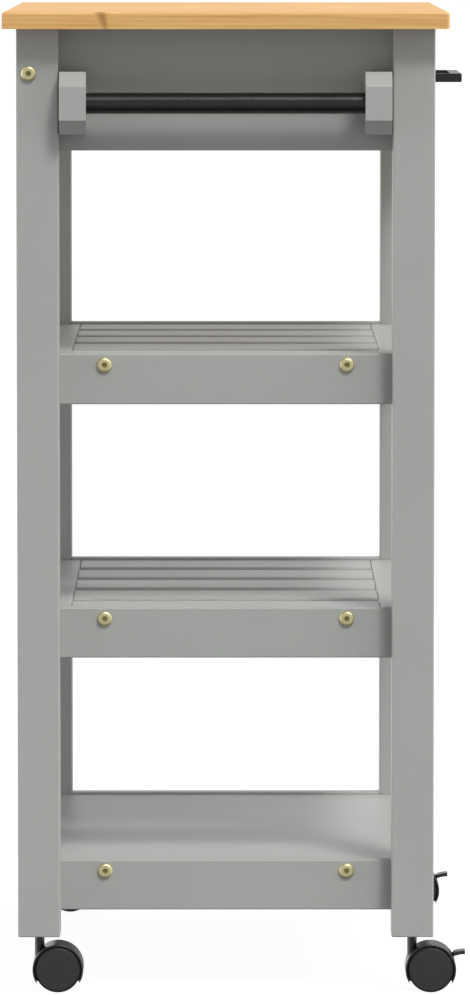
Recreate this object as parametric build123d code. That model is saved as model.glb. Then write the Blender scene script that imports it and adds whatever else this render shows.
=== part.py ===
from build123d import *
import math
import os

# Kitchen island cart on four casters, in millimetres. +X is the front, where the drawer opens, -Y is
# the left end, which carries the towel rail, and +Z is up. Everything is laid out about the middle of
# the frame, and save() then moves it so that the origin is on the floor under the middle of the
# overall box, which the handle and the brake levers make deeper in front.

# ---- driving dimensions ---------------------------------------------------------------------------
top_length = 600.0          # worktop, along Y
top_width = 400.0           # worktop, along X
top_thickness = 15.0
cart_height = 887.0         # floor to the worktop's upper face

leg_size = 38.0             # square section
leg_bottom = 51.0           # the legs end this far above the floor
front_overhang = 12.0       # worktop past the legs, front and back
end_overhang = 25.5         # worktop past the legs, left and right

board = 18.0                # thickness of the rear apron and the drawer front
end_board = 15.0            # thickness of the end aprons and rails
apron_height = 110.0
end_inset = 23.0            # end aprons and rails stand back this far, flush with the legs inside
rail_height = 45.5
rail_tops = {"upper": 578.5, "middle": 348.5, "lower": 118.5}
leg_bolt_x = -176.7         # the rear apron and its bolts, behind the middle of the rear legs
leg_bolt_drop = 40.3        # below the worktop's underside

shelf_thickness = 15.0
shelf_drop = 2.5            # shelf surface below the tops of its end rails
shelf_half_width = 176.0    # the stiles' outer edges
slat_half_length = 140.0    # the slats end here, and the stiles begin
slat_width = 73.0
slat_count = 5
shelf_gap = 0.4             # round the legs and between slats and stiles
shelf_bolt_x = 109.5
shelf_bolt_drop = 9.8       # below a rail's top edge

bar_radius = 9.5            # towel bar
bar_wall = 1.2
bar_standoff = 31.5         # bar's middle out from the end apron
bar_drop = 66.5             # bar's middle below the worktop's underside
bar_seat = 10.0             # depth of the bar's seat in each block
towel_block = (24.0, 48.0, 56.0)        # along X, Y and Z
towel_block_chamfer = 13.0
towel_block_gap = 1.0       # between a block and the leg beside it

drawer_rail_height = 13.0
drawer_gap = 1.5            # round the drawer's front
drawer_recess = 2.0         # front board behind the legs' front faces
drawer_side = 12.0          # thickness of the drawer's sides and back
drawer_play = 5.5           # between a drawer side and the leg it passes
drawer_back_x = -150.0
drawer_side_height = 79.6
drawer_back_height = 71.6
drawer_bottom_thickness = 3.5
drawer_bottom_lift = 5.6    # panel above the lower edges of the sides
groove_depth = 5.0
groove_play = 0.1
runner_top = 778.0
runner_ledge = 14.0         # thickness of the runner under the drawer
guide_height = 10.0         # runner's guide above the ledge that the drawer slides on

handle_reach = 32.5         # handle's face out from the drawer front
handle_bar = (10.5, 8.0)    # section, along X and Z
handle_centres = 128.0
handle_drop = 49.3          # handle's middle below the worktop's underside

caster_trail = 16.8         # axle out from the swivel stem
wheel_radius = 20.75
wheel_width = 12.4
wheel_inner = 4.9           # wheel's inner face from the caster's middle
cover_radius = 17.9
hood_radius = 23.0
hood_wall = 1.5
hood_width = 33.8
web_width = 8.0
neck_radius = 4.4
neck_top = 49.0
lever_tip = 32.8            # brake lever's tip out from the axle
lever_width = 14.0
lever_thickness = 3.2
lever_pivot = (14.0, 8.5)   # out from the axle and above it
lever_arm_width = 4.2
lever_slot_width = 5.0
lever_pad_start = 20.8      # the lever is at its full width beyond this

running = 0.05              # radial clearance of a shaft that turns
seated = 0.02               # radial clearance of a glued or pressed pin
screw_radius = 2.0
screw_head = (3.6, 2.2)     # radius and height of a pan head
screw_slot = 0.8            # width of the cross recess

# ---- sizes that follow ----------------------------------------------------------------------------
top_underside = cart_height - top_thickness
leg_x = (top_width / 2 - front_overhang - leg_size, top_width / 2 - front_overhang)
leg_y = (top_length / 2 - end_overhang - leg_size, top_length / 2 - end_overhang)
leg_z = (leg_bottom, top_underside)
stem_x = sum(leg_x) / 2
stem_y = sum(leg_y) / 2
end_y = (leg_y[1] - end_inset - end_board, leg_y[1] - end_inset)
end_mid_y = sum(end_y) / 2
apron_z = (top_underside - apron_height, top_underside)
rear_x = (leg_bolt_x - board / 2, leg_bolt_x + board / 2)
leg_bolt_z = top_underside - leg_bolt_drop

front_face = leg_x[1] - drawer_recess
front_back = front_face - board
drawer_rail_z = (apron_z[0] + 0.5, apron_z[0] + 0.5 + drawer_rail_height)
drawer_front_z = (drawer_rail_z[1] + drawer_gap, top_underside - 2 * drawer_gap)
drawer_y = (leg_y[0] - drawer_play - drawer_side, leg_y[0] - drawer_play)
drawer_low = runner_top + 0.4
drawer_bottom_z = (drawer_low + drawer_bottom_lift, drawer_low + drawer_bottom_lift + drawer_bottom_thickness)

handle_face = front_face + handle_reach
handle_z = top_underside - handle_drop
front_reach = max(handle_face, stem_x + caster_trail + lever_tip)
frame_x = (top_width / 2 - front_reach) / 2

on_base = (Align.CENTER, Align.CENTER, Align.MIN)
ends = {"left": -1, "right": 1}
faces = {"front": 1, "rear": -1}

pieces = {}                 # node name to its solid
groups = {}                 # node name to a list of like fasteners
holes = {}                  # node name to what is drilled out of it


# ---- helpers --------------------------------------------------------------------------------------
def box(x, y, z):
    """A box between pairs of faces, each pair in either order."""
    middle = [sum(pair) / 2 for pair in (x, y, z)]
    return Pos(*middle) * Box(*[abs(pair[1] - pair[0]) for pair in (x, y, z)])


def timber(x, y, z, grain, radius=1.2):
    """A planed timber whose four long edges, along the grain, are eased."""
    solid = box(x, y, z)
    return fillet(solid.edges().filter_by(grain), radius)


def mirrored(pair, side):
    """A pair of faces carried to the given side of the frame."""
    return (side * pair[0], side * pair[1])


def rod(radius, start, direction, length):
    """A round bar of the given length from a start point."""
    return Plane(origin=start, z_dir=direction) * Cylinder(radius, length, align=on_base)


def drill(hole, *nodes):
    """Keep a hole to take out of each of the nodes."""
    for node in nodes:
        holes.setdefault(node, []).append(hole)


def dowel(middle, axis, radius, length, *nodes):
    """A glued dowel through the middle of a joint, and its hole in both timbers."""
    direction = Vector(axis)
    start = Vector(middle) - direction * (length / 2)
    groups.setdefault("frame_dowels", []).append(rod(radius - seated, start, direction, length))
    hole_start = start - direction * 0.5
    drill(rod(radius, hole_start, direction, length + 1.0), *nodes)


def screw(group, start, axis, length, *nodes):
    """A pan-head screw whose head bears at the start point, and its hole in the nodes it passes."""
    direction = Vector(axis)
    head_radius, head_height = screw_head
    plane = Plane(origin=start, z_dir=direction)
    head = Pos(0, 0, -head_height) * Cylinder(head_radius, head_height, align=on_base)
    head = fillet(head.edges().group_by(Axis.Z)[0], head_height * 0.6)
    recess = Pos(0, 0, -head_height) * Box(head_radius, screw_slot, head_height * 0.5, align=on_base)
    cross = recess + Rot(0, 0, 90) * recess
    shank = Pos(0, 0, -0.2) * Cylinder(screw_radius - seated, length + 0.2, align=on_base)
    groups.setdefault(group, []).append(plane * (head + shank - cross))
    drill(rod(screw_radius, Vector(start) - direction, direction, length + 1.5), *nodes)


def furniture_bolt(group, start, axis, length, nut_at, nut_axis, *nodes):
    """An M6 bolt with a domed hexagon-socket head, and the barrel nut that it screws into."""
    head_radius = 6.8
    head_height = 3.2
    direction = Vector(axis)
    plane = Plane(origin=start, z_dir=direction)
    head = Pos(0, 0, -head_height) * Cylinder(head_radius, head_height, align=on_base)
    head = fillet(head.edges().group_by(Axis.Z)[0], 2.3)
    socket = extrude(Pos(0, 0, -head_height) * RegularPolygon(2.0, 6, major_radius=False), 2.2)
    shank = Pos(0, 0, -0.2) * Cylinder(3.0 - seated, length + 0.2, align=on_base)
    groups.setdefault(group, []).append(plane * (head + shank - socket))
    drill(rod(3.2, Vector(start) - direction, direction, length + 2.0), *nodes)

    nut_direction = Vector(nut_axis)
    nut_length = 12.0
    nut_middle = Vector(start) + direction * nut_at
    nut_start = nut_middle - nut_direction * (nut_length / 2)
    nut = rod(5.0 - seated, nut_start, nut_direction, nut_length)
    thread = rod(3.0, nut_middle - direction * 6.0, direction, 12.0)
    groups.setdefault("barrel_nuts", []).append(nut - thread)
    return rod(5.0, nut_start, nut_direction, nut_length + 8.0)


# ---- frame ----------------------------------------------------------------------------------------
def build_worktop():
    """The glued pine top with its edges eased all round."""
    half_width, half_length = top_width / 2, top_length / 2
    top = box((-half_width, half_width), (-half_length, half_length), (top_underside, cart_height))
    top = fillet(top.edges().filter_by(Axis.Z), 3.0)
    pieces["worktop"] = fillet(top.faces().sort_by(Axis.Z)[-1].edges(), 2.2)


def build_legs():
    """Four square legs, each bored from below for a caster's socket."""
    for face, across in faces.items():
        for end, along in ends.items():
            leg = timber(mirrored(leg_x, across), mirrored(leg_y, along), leg_z, Axis.Z, 1.6)
            pieces[f"leg_{face}_{end}"] = fillet(leg.faces().sort_by(Axis.Z)[0].edges(), 1.2)


def build_end_frames():
    """At each end an apron under the worktop and three rails, dowelled between the legs."""
    reach = (-leg_x[0], leg_x[0])
    for end, along in ends.items():
        levels = {f"apron_{end}": apron_z}
        for shelf, top in rail_tops.items():
            levels[f"{shelf}_rail_{end}"] = (top - rail_height, top)
        for node, height in levels.items():
            pieces[node] = timber(reach, mirrored(end_y, along), height, Axis.X)
            middle = sum(height) / 2
            spread = (height[1] - height[0]) * 0.27
            for face, across in faces.items():
                for lift in (-spread, spread):
                    place = (across * leg_x[0], along * end_mid_y, middle + lift)
                    dowel(place, (1, 0, 0), 4.0, 30.0, node, f"leg_{face}_{end}")


def build_long_members():
    """The rear apron, bolted through the rear legs, and the thin rail under the drawer."""
    between_legs = (-leg_y[0], leg_y[0])
    pieces["apron_rear"] = timber(rear_x, between_legs, apron_z, Axis.Y)
    pieces["drawer_rail"] = timber((leg_x[0], front_face), between_legs, drawer_rail_z, Axis.Y)
    nut_back = 22.0
    for end, along in ends.items():
        leg = f"leg_rear_{end}"
        for lift in (25.0, 95.0):
            place = (leg_bolt_x, along * leg_y[0], apron_z[0] + lift)
            dowel(place, (0, 1, 0), 4.0, 30.0, "apron_rear", leg)
        start = (leg_bolt_x, along * leg_y[1], leg_bolt_z)
        inwards = (0, -along, 0)
        pocket = furniture_bolt(
            "leg_bolts", start, inwards, leg_size + 30.0, leg_size + nut_back, (1, 0, 0), "apron_rear", leg
        )
        drill(pocket, "apron_rear")
        for x in (leg_x[0] + 10.0, front_face - 10.0):
            place = (x, along * leg_y[0], sum(drawer_rail_z) / 2)
            dowel(place, (0, 1, 0), 3.0, 24.0, "drawer_rail", f"leg_front_{end}")


# ---- shelves --------------------------------------------------------------------------------------
def leg_clearance(z):
    """What a shelf board leaves free round the four legs."""
    across = (leg_x[0] - shelf_gap, leg_x[1] + 20.0)
    along = (leg_y[0] - shelf_gap, leg_y[1] + 20.0)
    tall = (z[0] - 5.0, z[1] + 5.0)
    return [box(mirrored(across, i), mirrored(along, j), tall) for i in (-1, 1) for j in (-1, 1)]


def build_slatted_shelf(shelf):
    """Two stiles along the cart with five slats dowelled between them."""
    surface = rail_tops[shelf] - shelf_drop
    z = (surface - shelf_thickness, surface)
    for face, across in faces.items():
        x = mirrored((slat_half_length + shelf_gap, shelf_half_width), across)
        stile = timber(x, (-end_y[0], end_y[0]), z, Axis.Y, 2.2)
        pieces[f"{shelf}_stile_{face}"] = stile - leg_clearance(z)

    slats = f"{shelf}_slats"
    pitch = (2 * end_y[0] - slat_width) / (slat_count - 1)
    made = []
    for index in range(slat_count):
        y = -end_y[0] + slat_width / 2 + index * pitch
        slat_y = (y - slat_width / 2, y + slat_width / 2)
        slat = timber((-slat_half_length, slat_half_length), slat_y, z, Axis.X, 2.6)
        made.append(slat)
        for face, across in faces.items():
            for shift in (-slat_width / 4, slat_width / 4):
                place = (across * slat_half_length, y + shift, sum(z) / 2)
                dowel(place, (1, 0, 0), 3.0, 24.0, slats, f"{shelf}_stile_{face}")
    groups[slats] = made
    bolt_shelf(shelf, slats)


def build_bottom_shelf():
    """A solid glued panel with its corners cut out round the legs."""
    surface = rail_tops["lower"] - shelf_drop
    z = (surface - shelf_thickness, surface)
    panel = timber((-shelf_half_width, shelf_half_width), (-end_y[0], end_y[0]), z, Axis.Y, 2.2)
    pieces["bottom_shelf"] = panel - leg_clearance(z)
    bolt_shelf("lower", "bottom_shelf")


def bolt_shelf(shelf, node):
    """Two bolts through each end rail into barrel nuts let into the shelf from below."""
    z = rail_tops[shelf] - shelf_bolt_drop
    nut_at = end_board + 14.0
    bolt_length = nut_at + 8.0
    for end, along in ends.items():
        for across in (-1, 1):
            start = (across * shelf_bolt_x, along * end_y[1], z)
            inwards = (0, -along, 0)
            rail = f"{shelf}_rail_{end}"
            down = (0, 0, -1)
            pocket = furniture_bolt("shelf_bolts", start, inwards, bolt_length, nut_at, down, rail, node)
            drill(pocket, node)


# ---- towel rail -----------------------------------------------------------------------------------
def build_towel_rail():
    """A round bar seated in two chamfered blocks on the left end apron."""
    width, depth, tall = towel_block
    bar_y = -end_y[1] - bar_standoff
    bar_z = top_underside - bar_drop
    outer = leg_x[0] - towel_block_gap
    inner = outer - width
    for face, across in faces.items():
        node = f"towel_block_{face}"
        y = (-end_y[1] - depth, -end_y[1])
        block = box(mirrored((inner, outer), across), y, (bar_z - tall / 2, bar_z + tall / 2))
        front = block.faces().sort_by(Axis.Y)[0].edges().filter_by(Axis.X)
        block = chamfer(front, towel_block_chamfer)
        seat = rod(bar_radius + 0.1, (across * (inner - 1.0), bar_y, bar_z), (across, 0, 0), bar_seat + 1.2)
        pieces[node] = block - seat
        for lift in (-10.0, 10.0):
            start = (across * (outer - 8.0), -end_y[0], bar_z + lift)
            screw("wood_screws", start, (0, -1, 0), 38.0, "apron_left", node)

    length = 2 * (inner + bar_seat)
    start = (-length / 2, bar_y, bar_z)
    tube = rod(bar_radius, start, (1, 0, 0), length) - rod(bar_radius - bar_wall, start, (1, 0, 0), length)
    pieces["towel_bar"] = tube


# ---- worktop fixings and drawer runners -----------------------------------------------------------
def bracket():
    """A steel angle in the corner under the worktop, its upright against an apron that faces +X."""
    width, arm, steel = 20.0, 30.0, 2.0
    upright = box((0, steel), (-width / 2, width / 2), (-arm, 0))
    flat = box((0, arm), (-width / 2, width / 2), (-steel, 0))
    angle = fillet((upright + flat).edges().filter_by(Axis.Y).sort_by_distance((0, 0, 0))[0], 1.5)
    bore_up = rod(screw_radius + 0.2, (18.0, 0, -5.0), (0, 0, 1), 10.0)
    bore_side = rod(screw_radius + 0.2, (-5.0, 0, -20.0), (1, 0, 0), 10.0)
    return angle - bore_up - bore_side


def build_brackets():
    """Six angles that hold the worktop down on the end aprons and the rear apron."""
    places = []
    for end, along in ends.items():
        for x in (-90.0, 90.0):
            places.append(((x, along * end_y[0]), (0, -along), f"apron_{end}"))
    for y in (-130.0, 130.0):
        places.append(((rear_x[1], y), (1, 0), "apron_rear"))
    steel = 2.0
    up_reach = 13.0
    side_reach = 13.0
    for (x, y), (dx, dy), apron in places:
        turn = math.degrees(math.atan2(dy, dx))
        angle = Pos(x, y, top_underside) * Rot(0, 0, turn) * bracket()
        groups.setdefault("worktop_brackets", []).append(angle)
        up_start = (x + 18.0 * dx, y + 18.0 * dy, top_underside - steel)
        screw("wood_screws", up_start, (0, 0, 1), up_reach, "worktop")
        side_start = (x + steel * dx, y + steel * dy, top_underside - 20.0)
        screw("wood_screws", side_start, (-dx, -dy, 0), side_reach, apron)


def build_runners():
    """An L-shaped hardwood runner on each end apron carries and guides the drawer."""
    ledge_low = drawer_y[0] - 1.5
    guide_low = drawer_y[1] + 0.8
    runner_low = runner_top - runner_ledge
    for end, along in ends.items():
        x = (-leg_x[0] + 0.5, leg_x[0] - 0.5)
        ledge = box(x, mirrored((ledge_low, end_y[0]), along), (runner_low, runner_top))
        guide = box(x, mirrored((guide_low, end_y[0]), along), (runner_low, runner_top + guide_height))
        node = f"drawer_runner_{end}"
        pieces[node] = ledge + guide
        sunk = 9.0
        screw_z = runner_top - runner_ledge / 2
        for place in (-110.0, 0.0, 110.0):
            outwards = (0, along, 0)
            start = (place, along * (ledge_low + sunk), screw_z)
            screw("wood_screws", start, outwards, 20.0, f"apron_{end}", node)
            drill(rod(4.0, (place, along * (ledge_low - 1.0), screw_z), outwards, sunk + 1.0), node)


# ---- drawer ---------------------------------------------------------------------------------------
def build_drawer():
    """Front, sides and back of board, a thin bottom held in grooves all round."""
    front_y = leg_y[0] - drawer_gap
    front = box((front_back, front_face), (-front_y, front_y), drawer_front_z)
    front = fillet(front.edges().filter_by(Axis.Y) + front.edges().filter_by(Axis.Z), 1.5)

    housed = 6.0            # the sides' front ends are glued this deep into the front
    side_z = (drawer_low, drawer_low + drawer_side_height)
    back_z = (drawer_low, drawer_low + drawer_back_height)
    groove_z = (drawer_bottom_z[0] - groove_play, drawer_bottom_z[1] + groove_play)
    inside_x = (drawer_back_x + drawer_side, front_back)
    groove_x = (inside_x[0] - groove_depth, inside_x[1] + groove_depth)
    groove = box(groove_x, (-drawer_y[0] - groove_depth, drawer_y[0] + groove_depth), groove_z)

    for end, along in ends.items():
        x = (drawer_back_x, front_back + housed)
        side = timber(x, mirrored(drawer_y, along), side_z, Axis.X, 1.0)
        front -= box((front_back - 1.0, x[1]), mirrored(drawer_y, along), side_z)
        pieces[f"drawer_side_{end}"] = side - groove
        sunk = 2.8
        for lift in (22.0, 58.0):
            inwards = (0, -along, 0)
            screw_x = drawer_back_x + drawer_side / 2
            start = (screw_x, along * (drawer_y[1] - sunk), drawer_low + lift)
            nodes = (f"drawer_side_{end}", "drawer_back")
            screw("drawer_screws", start, inwards, 30.0, *nodes)
            mouth = (screw_x, along * (drawer_y[1] + 1.0), drawer_low + lift)
            drill(rod(4.0, mouth, inwards, sunk + 1.0), f"drawer_side_{end}")
    pieces["drawer_front"] = front - groove

    back = timber((drawer_back_x, inside_x[0]), (-drawer_y[0], drawer_y[0]), back_z, Axis.Y, 1.0)
    pieces["drawer_back"] = back - groove
    slack = 0.3
    panel_x = (groove_x[0] + slack, groove_x[1] - slack)
    panel_y = drawer_y[0] + groove_depth - slack
    pieces["drawer_bottom"] = box(panel_x, (-panel_y, panel_y), drawer_bottom_z)


def build_handle():
    """A square-section bow handle, screwed on from inside the drawer."""
    thick, tall = handle_bar
    post_y = handle_centres / 2
    half_length = post_y + tall / 2
    z = (handle_z - tall / 2, handle_z + tall / 2)
    handle = box((handle_face - thick, handle_face), (-half_length, half_length), z)
    for along in ends.values():
        y = (along * post_y - tall / 2, along * post_y + tall / 2)
        handle += box((front_face, handle_face - thick / 2), y, z)
    pieces["drawer_handle"] = fillet(handle.faces().sort_by(Axis.X)[-1].edges(), 0.9)
    for along in ends.values():
        start = (front_back, along * post_y, handle_z)
        nodes = ("drawer_front", "drawer_handle")
        screw("drawer_screws", start, (1, 0, 0), 32.0, *nodes)


# ---- casters --------------------------------------------------------------------------------------
def wheel(side):
    """One moulded wheel of a twin pair about the axle, with a disc cover let into its outer face."""
    disc = Cylinder(wheel_radius, wheel_width, align=on_base)
    disc = chamfer(disc.edges().filter_by(GeomType.CIRCLE).sort_by(Axis.Z)[-1], 1.1)
    disc = fillet(disc.edges().filter_by(GeomType.CIRCLE).sort_by(Axis.Z)[0], 0.8)
    seam = Cylinder(cover_radius + 0.4, 0.7, align=on_base) - Cylinder(cover_radius - 0.4, 0.7, align=on_base)
    bore = Pos(0, 0, -1.0) * Cylinder(2.5 + running, 10.0, align=on_base)
    disc = disc - Pos(0, 0, wheel_width - 0.6) * seam - bore
    return Pos(0, side * wheel_inner, 0) * Rot(-90 * side, 0, 0) * disc


def caster_housing(braked):
    """The moulded housing about the axle: a hood over the wheels, a web between them, a neck."""
    rim = Pos(hood_radius - hood_wall / 2, 0) * Rectangle(hood_wall, hood_width)
    rim = fillet(rim.vertices().group_by(Axis.X)[-1], 0.7)
    hood = revolve(rim, Axis.Y, 360)
    tip = (19.3, -12.6)
    below = Polygon((-tip[0], -9.0), (-tip[0], -30), (tip[0], -30), (tip[0], -9.0), align=None)
    beside = Polygon((-40, tip[1]), (-40, -40), (40, -40), (40, tip[1]), align=None)
    hood -= extrude(Plane.XZ * below, hood_width, both=True)
    hood -= extrude(Plane.XZ * beside, hood_width, both=True)

    web = extrude(Plane.XZ * Circle(hood_radius - hood_wall / 2), web_width / 2, both=True)
    web &= box((-30, 30), (-10, 10), (-12.0, 30))
    neck_foot = 6.0
    neck_height = neck_top - wheel_radius - neck_foot
    neck = Pos(-caster_trail, 0, neck_foot) * Cylinder(neck_radius, neck_height, align=on_base)
    stem_bore = Pos(-caster_trail, 0, neck_foot + 2.25) * Cylinder(3.0 + running, 60.0, align=on_base)
    body = hood + web + neck - stem_bore - rod(2.5, (0, -20, 0), (0, 1, 0), 40.0)
    return body - lever_room() if braked else body


def lever_room():
    """The slot in the web and the window in the hood that the brake lever works in."""
    px, pz = lever_pivot
    fan = Polygon((px - 2.2, pz + 3.2), (21, 19), (30, 19), (30, 5.5), (px + 2.0, pz - 3.6), align=None)
    slot = extrude(Plane.XZ * fan, lever_slot_width / 2, both=True)
    slot += extrude(Plane.XZ * Pos(px, pz) * Circle(3.6), lever_slot_width / 2, both=True)
    window = box((17.0, 30.0), (-lever_width / 2 - 0.6, lever_width / 2 + 0.6), (7.2, 15.6))
    pivot_bore = rod(1.4 + running, (px, -3.75, pz), (0, 1, 0), 7.5)
    return slot + window + pivot_bore


def brake_lever():
    """A curved foot lever on moulded pivots; its pad widens outside the hood."""
    px, pz = lever_pivot
    end = lever_tip - lever_thickness / 2
    line = ThreePointArc((px, pz), (22.4, 13.2), (end, 14.6))
    strip = trace(line, lever_thickness)
    arm = extrude(Plane.XZ * strip, lever_arm_width / 2, both=True)
    pad = extrude(Plane.XZ * strip, lever_width / 2, both=True)
    pad &= box((lever_pad_start, 40), (-10, 10), (0, 30))
    eye = rod(2.7, (px, -lever_arm_width / 2, pz), (0, 1, 0), lever_arm_width)
    pivots = rod(1.4, (px, -3.6, pz), (0, 1, 0), 7.2)
    return arm + pad + eye + pivots


def build_casters():
    """A twin-wheel swivel caster under each leg; the two at the front have a brake lever."""
    for face, across in faces.items():
        for end, along in ends.items():
            name = f"{face}_{end}"
            stem = Pos(across * stem_x, along * stem_y, 0)
            at_axle = stem * Pos(caster_trail, 0, wheel_radius)
            pieces[f"caster_housing_{name}"] = at_axle * caster_housing(face == "front")
            pieces[f"caster_axle_{name}"] = at_axle * rod(2.5 - seated, (0, -13.5, 0), (0, 1, 0), 27.0)
            pieces[f"wheel_left_{name}"] = at_axle * wheel(-1)
            pieces[f"wheel_right_{name}"] = at_axle * wheel(1)
            if face == "front":
                pieces[f"brake_lever_{name}"] = at_axle * brake_lever()

            collar_low = neck_top + 0.3
            pin = Pos(0, 0, 30.0) * Cylinder(3.0, collar_low + 0.5 - 30.0, align=on_base)
            collar = Pos(0, 0, collar_low) * Cylinder(4.7, leg_bottom - collar_low, align=on_base)
            upper = Pos(0, 0, leg_bottom - 0.5) * Cylinder(4.0, 28.5, align=on_base)
            groups.setdefault("caster_stems", []).append(stem * (pin + collar + upper))

            socket_height = 29.0
            sleeve = Cylinder(5.5 - seated, socket_height, align=on_base)
            sleeve -= Cylinder(4.0 + seated, socket_height, align=on_base)
            groups.setdefault("caster_sockets", []).append(stem * Pos(0, 0, leg_bottom) * sleeve)
            bore = Pos(0, 0, leg_bottom - 5.0) * Cylinder(5.5, socket_height + 5.0, align=on_base)
            drill(stem * bore, f"leg_{name}")


# ---- write ----------------------------------------------------------------------------------------
def save(node, solids):
    """Drill a node's solids, place them in the row's frame and write them as one STEP file."""
    cut = holes.get(node, [])
    finished = []
    for solid in solids:
        drilled = solid - cut if cut else solid
        finished += drilled.solids()
    shape = finished[0] if len(finished) == 1 else Compound(finished)
    export_step(Pos(frame_x, 0, 0) * shape, f"parts/{node}.step")


def build():
    """Make every piece, then write them all."""
    build_worktop()
    build_legs()
    build_end_frames()
    build_long_members()
    build_slatted_shelf("upper")
    build_slatted_shelf("middle")
    build_bottom_shelf()
    build_towel_rail()
    build_brackets()
    build_runners()
    build_drawer()
    build_handle()
    build_casters()
    os.makedirs("parts", exist_ok=True)
    for node, solid in pieces.items():
        save(node, [solid])
    for node, solids in groups.items():
        save(node, solids)


build()
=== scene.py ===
import logging
import math
from dataclasses import dataclass, replace
from enum import Enum
from typing import Iterable

import bmesh
import bpy
import numpy as np
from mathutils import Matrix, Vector


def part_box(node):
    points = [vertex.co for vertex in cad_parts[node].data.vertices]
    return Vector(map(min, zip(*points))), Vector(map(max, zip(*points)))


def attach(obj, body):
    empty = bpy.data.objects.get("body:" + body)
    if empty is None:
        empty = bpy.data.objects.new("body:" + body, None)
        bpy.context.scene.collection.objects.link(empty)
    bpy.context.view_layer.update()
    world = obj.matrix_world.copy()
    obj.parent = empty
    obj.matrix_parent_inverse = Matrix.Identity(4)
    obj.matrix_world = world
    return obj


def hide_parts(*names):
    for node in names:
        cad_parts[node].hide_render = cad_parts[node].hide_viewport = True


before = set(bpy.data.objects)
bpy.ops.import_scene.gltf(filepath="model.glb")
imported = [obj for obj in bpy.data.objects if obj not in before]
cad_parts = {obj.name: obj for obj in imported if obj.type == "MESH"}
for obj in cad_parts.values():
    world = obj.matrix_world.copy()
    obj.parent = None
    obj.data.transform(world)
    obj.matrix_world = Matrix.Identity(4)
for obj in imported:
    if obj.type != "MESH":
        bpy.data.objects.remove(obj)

logging.basicConfig(level=logging.INFO, format="%(levelname)s %(name)s: %(message)s")
log = logging.getLogger("kitchen_cart")

Colour = tuple[float, float, float, float]
Triple = tuple[float, float, float]
Tree = bpy.types.NodeTree
Socket = bpy.types.NodeSocket
Inputs = dict[str | int, object]
Value = Socket | float

MM = 0.001                  # a millimetre in metres, which all lengths are in
MIX_FACTOR, MIX_A, MIX_B, MIX_OUT = 0, 6, 7, 2      # the Mix node's sockets for colours
MIX_LOW, MIX_HIGH = 2, 3                            # and for plain numbers


class Axis(Enum):
    """A row axis, numbered as the Separate XYZ node's outputs are."""

    X = 0
    Y = 1
    Z = 2


# ---- small tools ----
def linear(code: str) -> Colour:
    """Turn an sRGB hex colour into the linear values that a shader socket takes.

    Each channel is divided by 12.92 below 0.04045, and above that it is (c + 0.055) / 1.055 to the
    power 2.4.

    Args:
        code: six hex digits after a hash.

    Returns:
        Red, green, blue and an alpha of one.
    """
    channels = [int(code[i:i + 2], 16) / 255 for i in (1, 3, 5)]
    curve = [c / 12.92 if c <= 0.04045 else ((c + 0.055) / 1.055) ** 2.4 for c in channels]
    return (curve[0], curve[1], curve[2], 1.0)


def add(tree: Tree, kind: str, inputs: Inputs | None = None,
        **settings: object) -> bpy.types.Node:
    """Add a node, set its properties, and fill or link its inputs.

    Args:
        tree: the node tree that gets the node.
        kind: the node's type name, without the ShaderNode before it.
        inputs: socket name or number to a constant, or to an output socket to link from.
        settings: properties of the node itself.

    Returns:
        The new node.
    """
    node = tree.nodes.new(f"ShaderNode{kind}")
    for name, value in settings.items():
        setattr(node, name, value)
    for key, value in (inputs or {}).items():
        if isinstance(value, Socket):
            tree.links.new(value, node.inputs[key])
        else:
            node.inputs[key].default_value = value
    return node


def between(tree: Tree, share: Value, low: float, high: float) -> Value:
    """Mix two numbers: low plus the share times the difference, worked out here if the share is fixed.

    Args:
        tree: the material's tree.
        share: nought for low and one for high, as a number or a socket.
        low: the value at nought.
        high: the value at one.

    Returns:
        The mixed value, as a number or a socket as the share was.
    """
    if isinstance(share, float):
        return low + share * (high - low)
    return add(tree, "MapRange", {"Value": share, "To Min": low, "To Max": high}).outputs["Result"]


def dress(names: Iterable[str], material: bpy.types.Material) -> None:
    """Give CAD nodes one material in place of the plain one that they were packed with.

    Args:
        names: the CAD nodes.
        material: their finish.
    """
    for name in names:
        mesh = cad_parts[name].data
        mesh.materials.clear()
        mesh.materials.append(material)


def span(node: str) -> tuple[np.ndarray, np.ndarray]:
    """Find a CAD node's lowest and highest corners at rest, in metres.

    Args:
        node: the CAD node's name.

    Returns:
        The low corner and the high corner.
    """
    low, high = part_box(node)
    return np.array(low), np.array(high)


def skin(name: str, rows: np.ndarray, material: bpy.types.Material, sharp: float = 35.0) -> bpy.types.Object:
    """Join rows of points into one closed mesh.

    Point j of row i is joined to point j + 1 of the same row, wrapping at the end, and to the same
    places in row i + 1. The first and last rows are drawn together into poles, so the form is closed.

    Args:
        name: the object's name.
        rows: an array of rows by points by three, in metres in the row frame.
        material: the finish.
        sharp: edges that turn by more than this many degrees keep a hard shade.

    Returns:
        The object, with its normals turned outwards.
    """
    count, around = rows.shape[:2]
    i, j = np.meshgrid(np.arange(count - 1), np.arange(around), indexing="ij")
    after = (j + 1) % around
    corners = (i * around + j, i * around + after, (i + 1) * around + after, (i + 1) * around + j)
    faces = np.stack(corners, axis=-1).reshape(-1, 4)
    mesh = bpy.data.meshes.new(name)
    mesh.from_pydata(rows.reshape(-1, 3).tolist(), [], faces.tolist())
    form = bmesh.new()
    form.from_mesh(mesh)
    bmesh.ops.remove_doubles(form, verts=form.verts, dist=1e-6)
    bmesh.ops.dissolve_degenerate(form, edges=form.edges, dist=1e-7)
    bmesh.ops.recalc_face_normals(form, faces=form.faces)
    form.to_mesh(mesh)
    form.free()
    mesh.polygons.foreach_set("use_smooth", np.ones(len(mesh.polygons), dtype=bool))
    mesh.set_sharp_from_angle(angle=math.radians(sharp))
    mesh.materials.append(material)
    piece = bpy.data.objects.new(name, mesh)
    bpy.context.scene.collection.objects.link(piece)
    return piece


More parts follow.
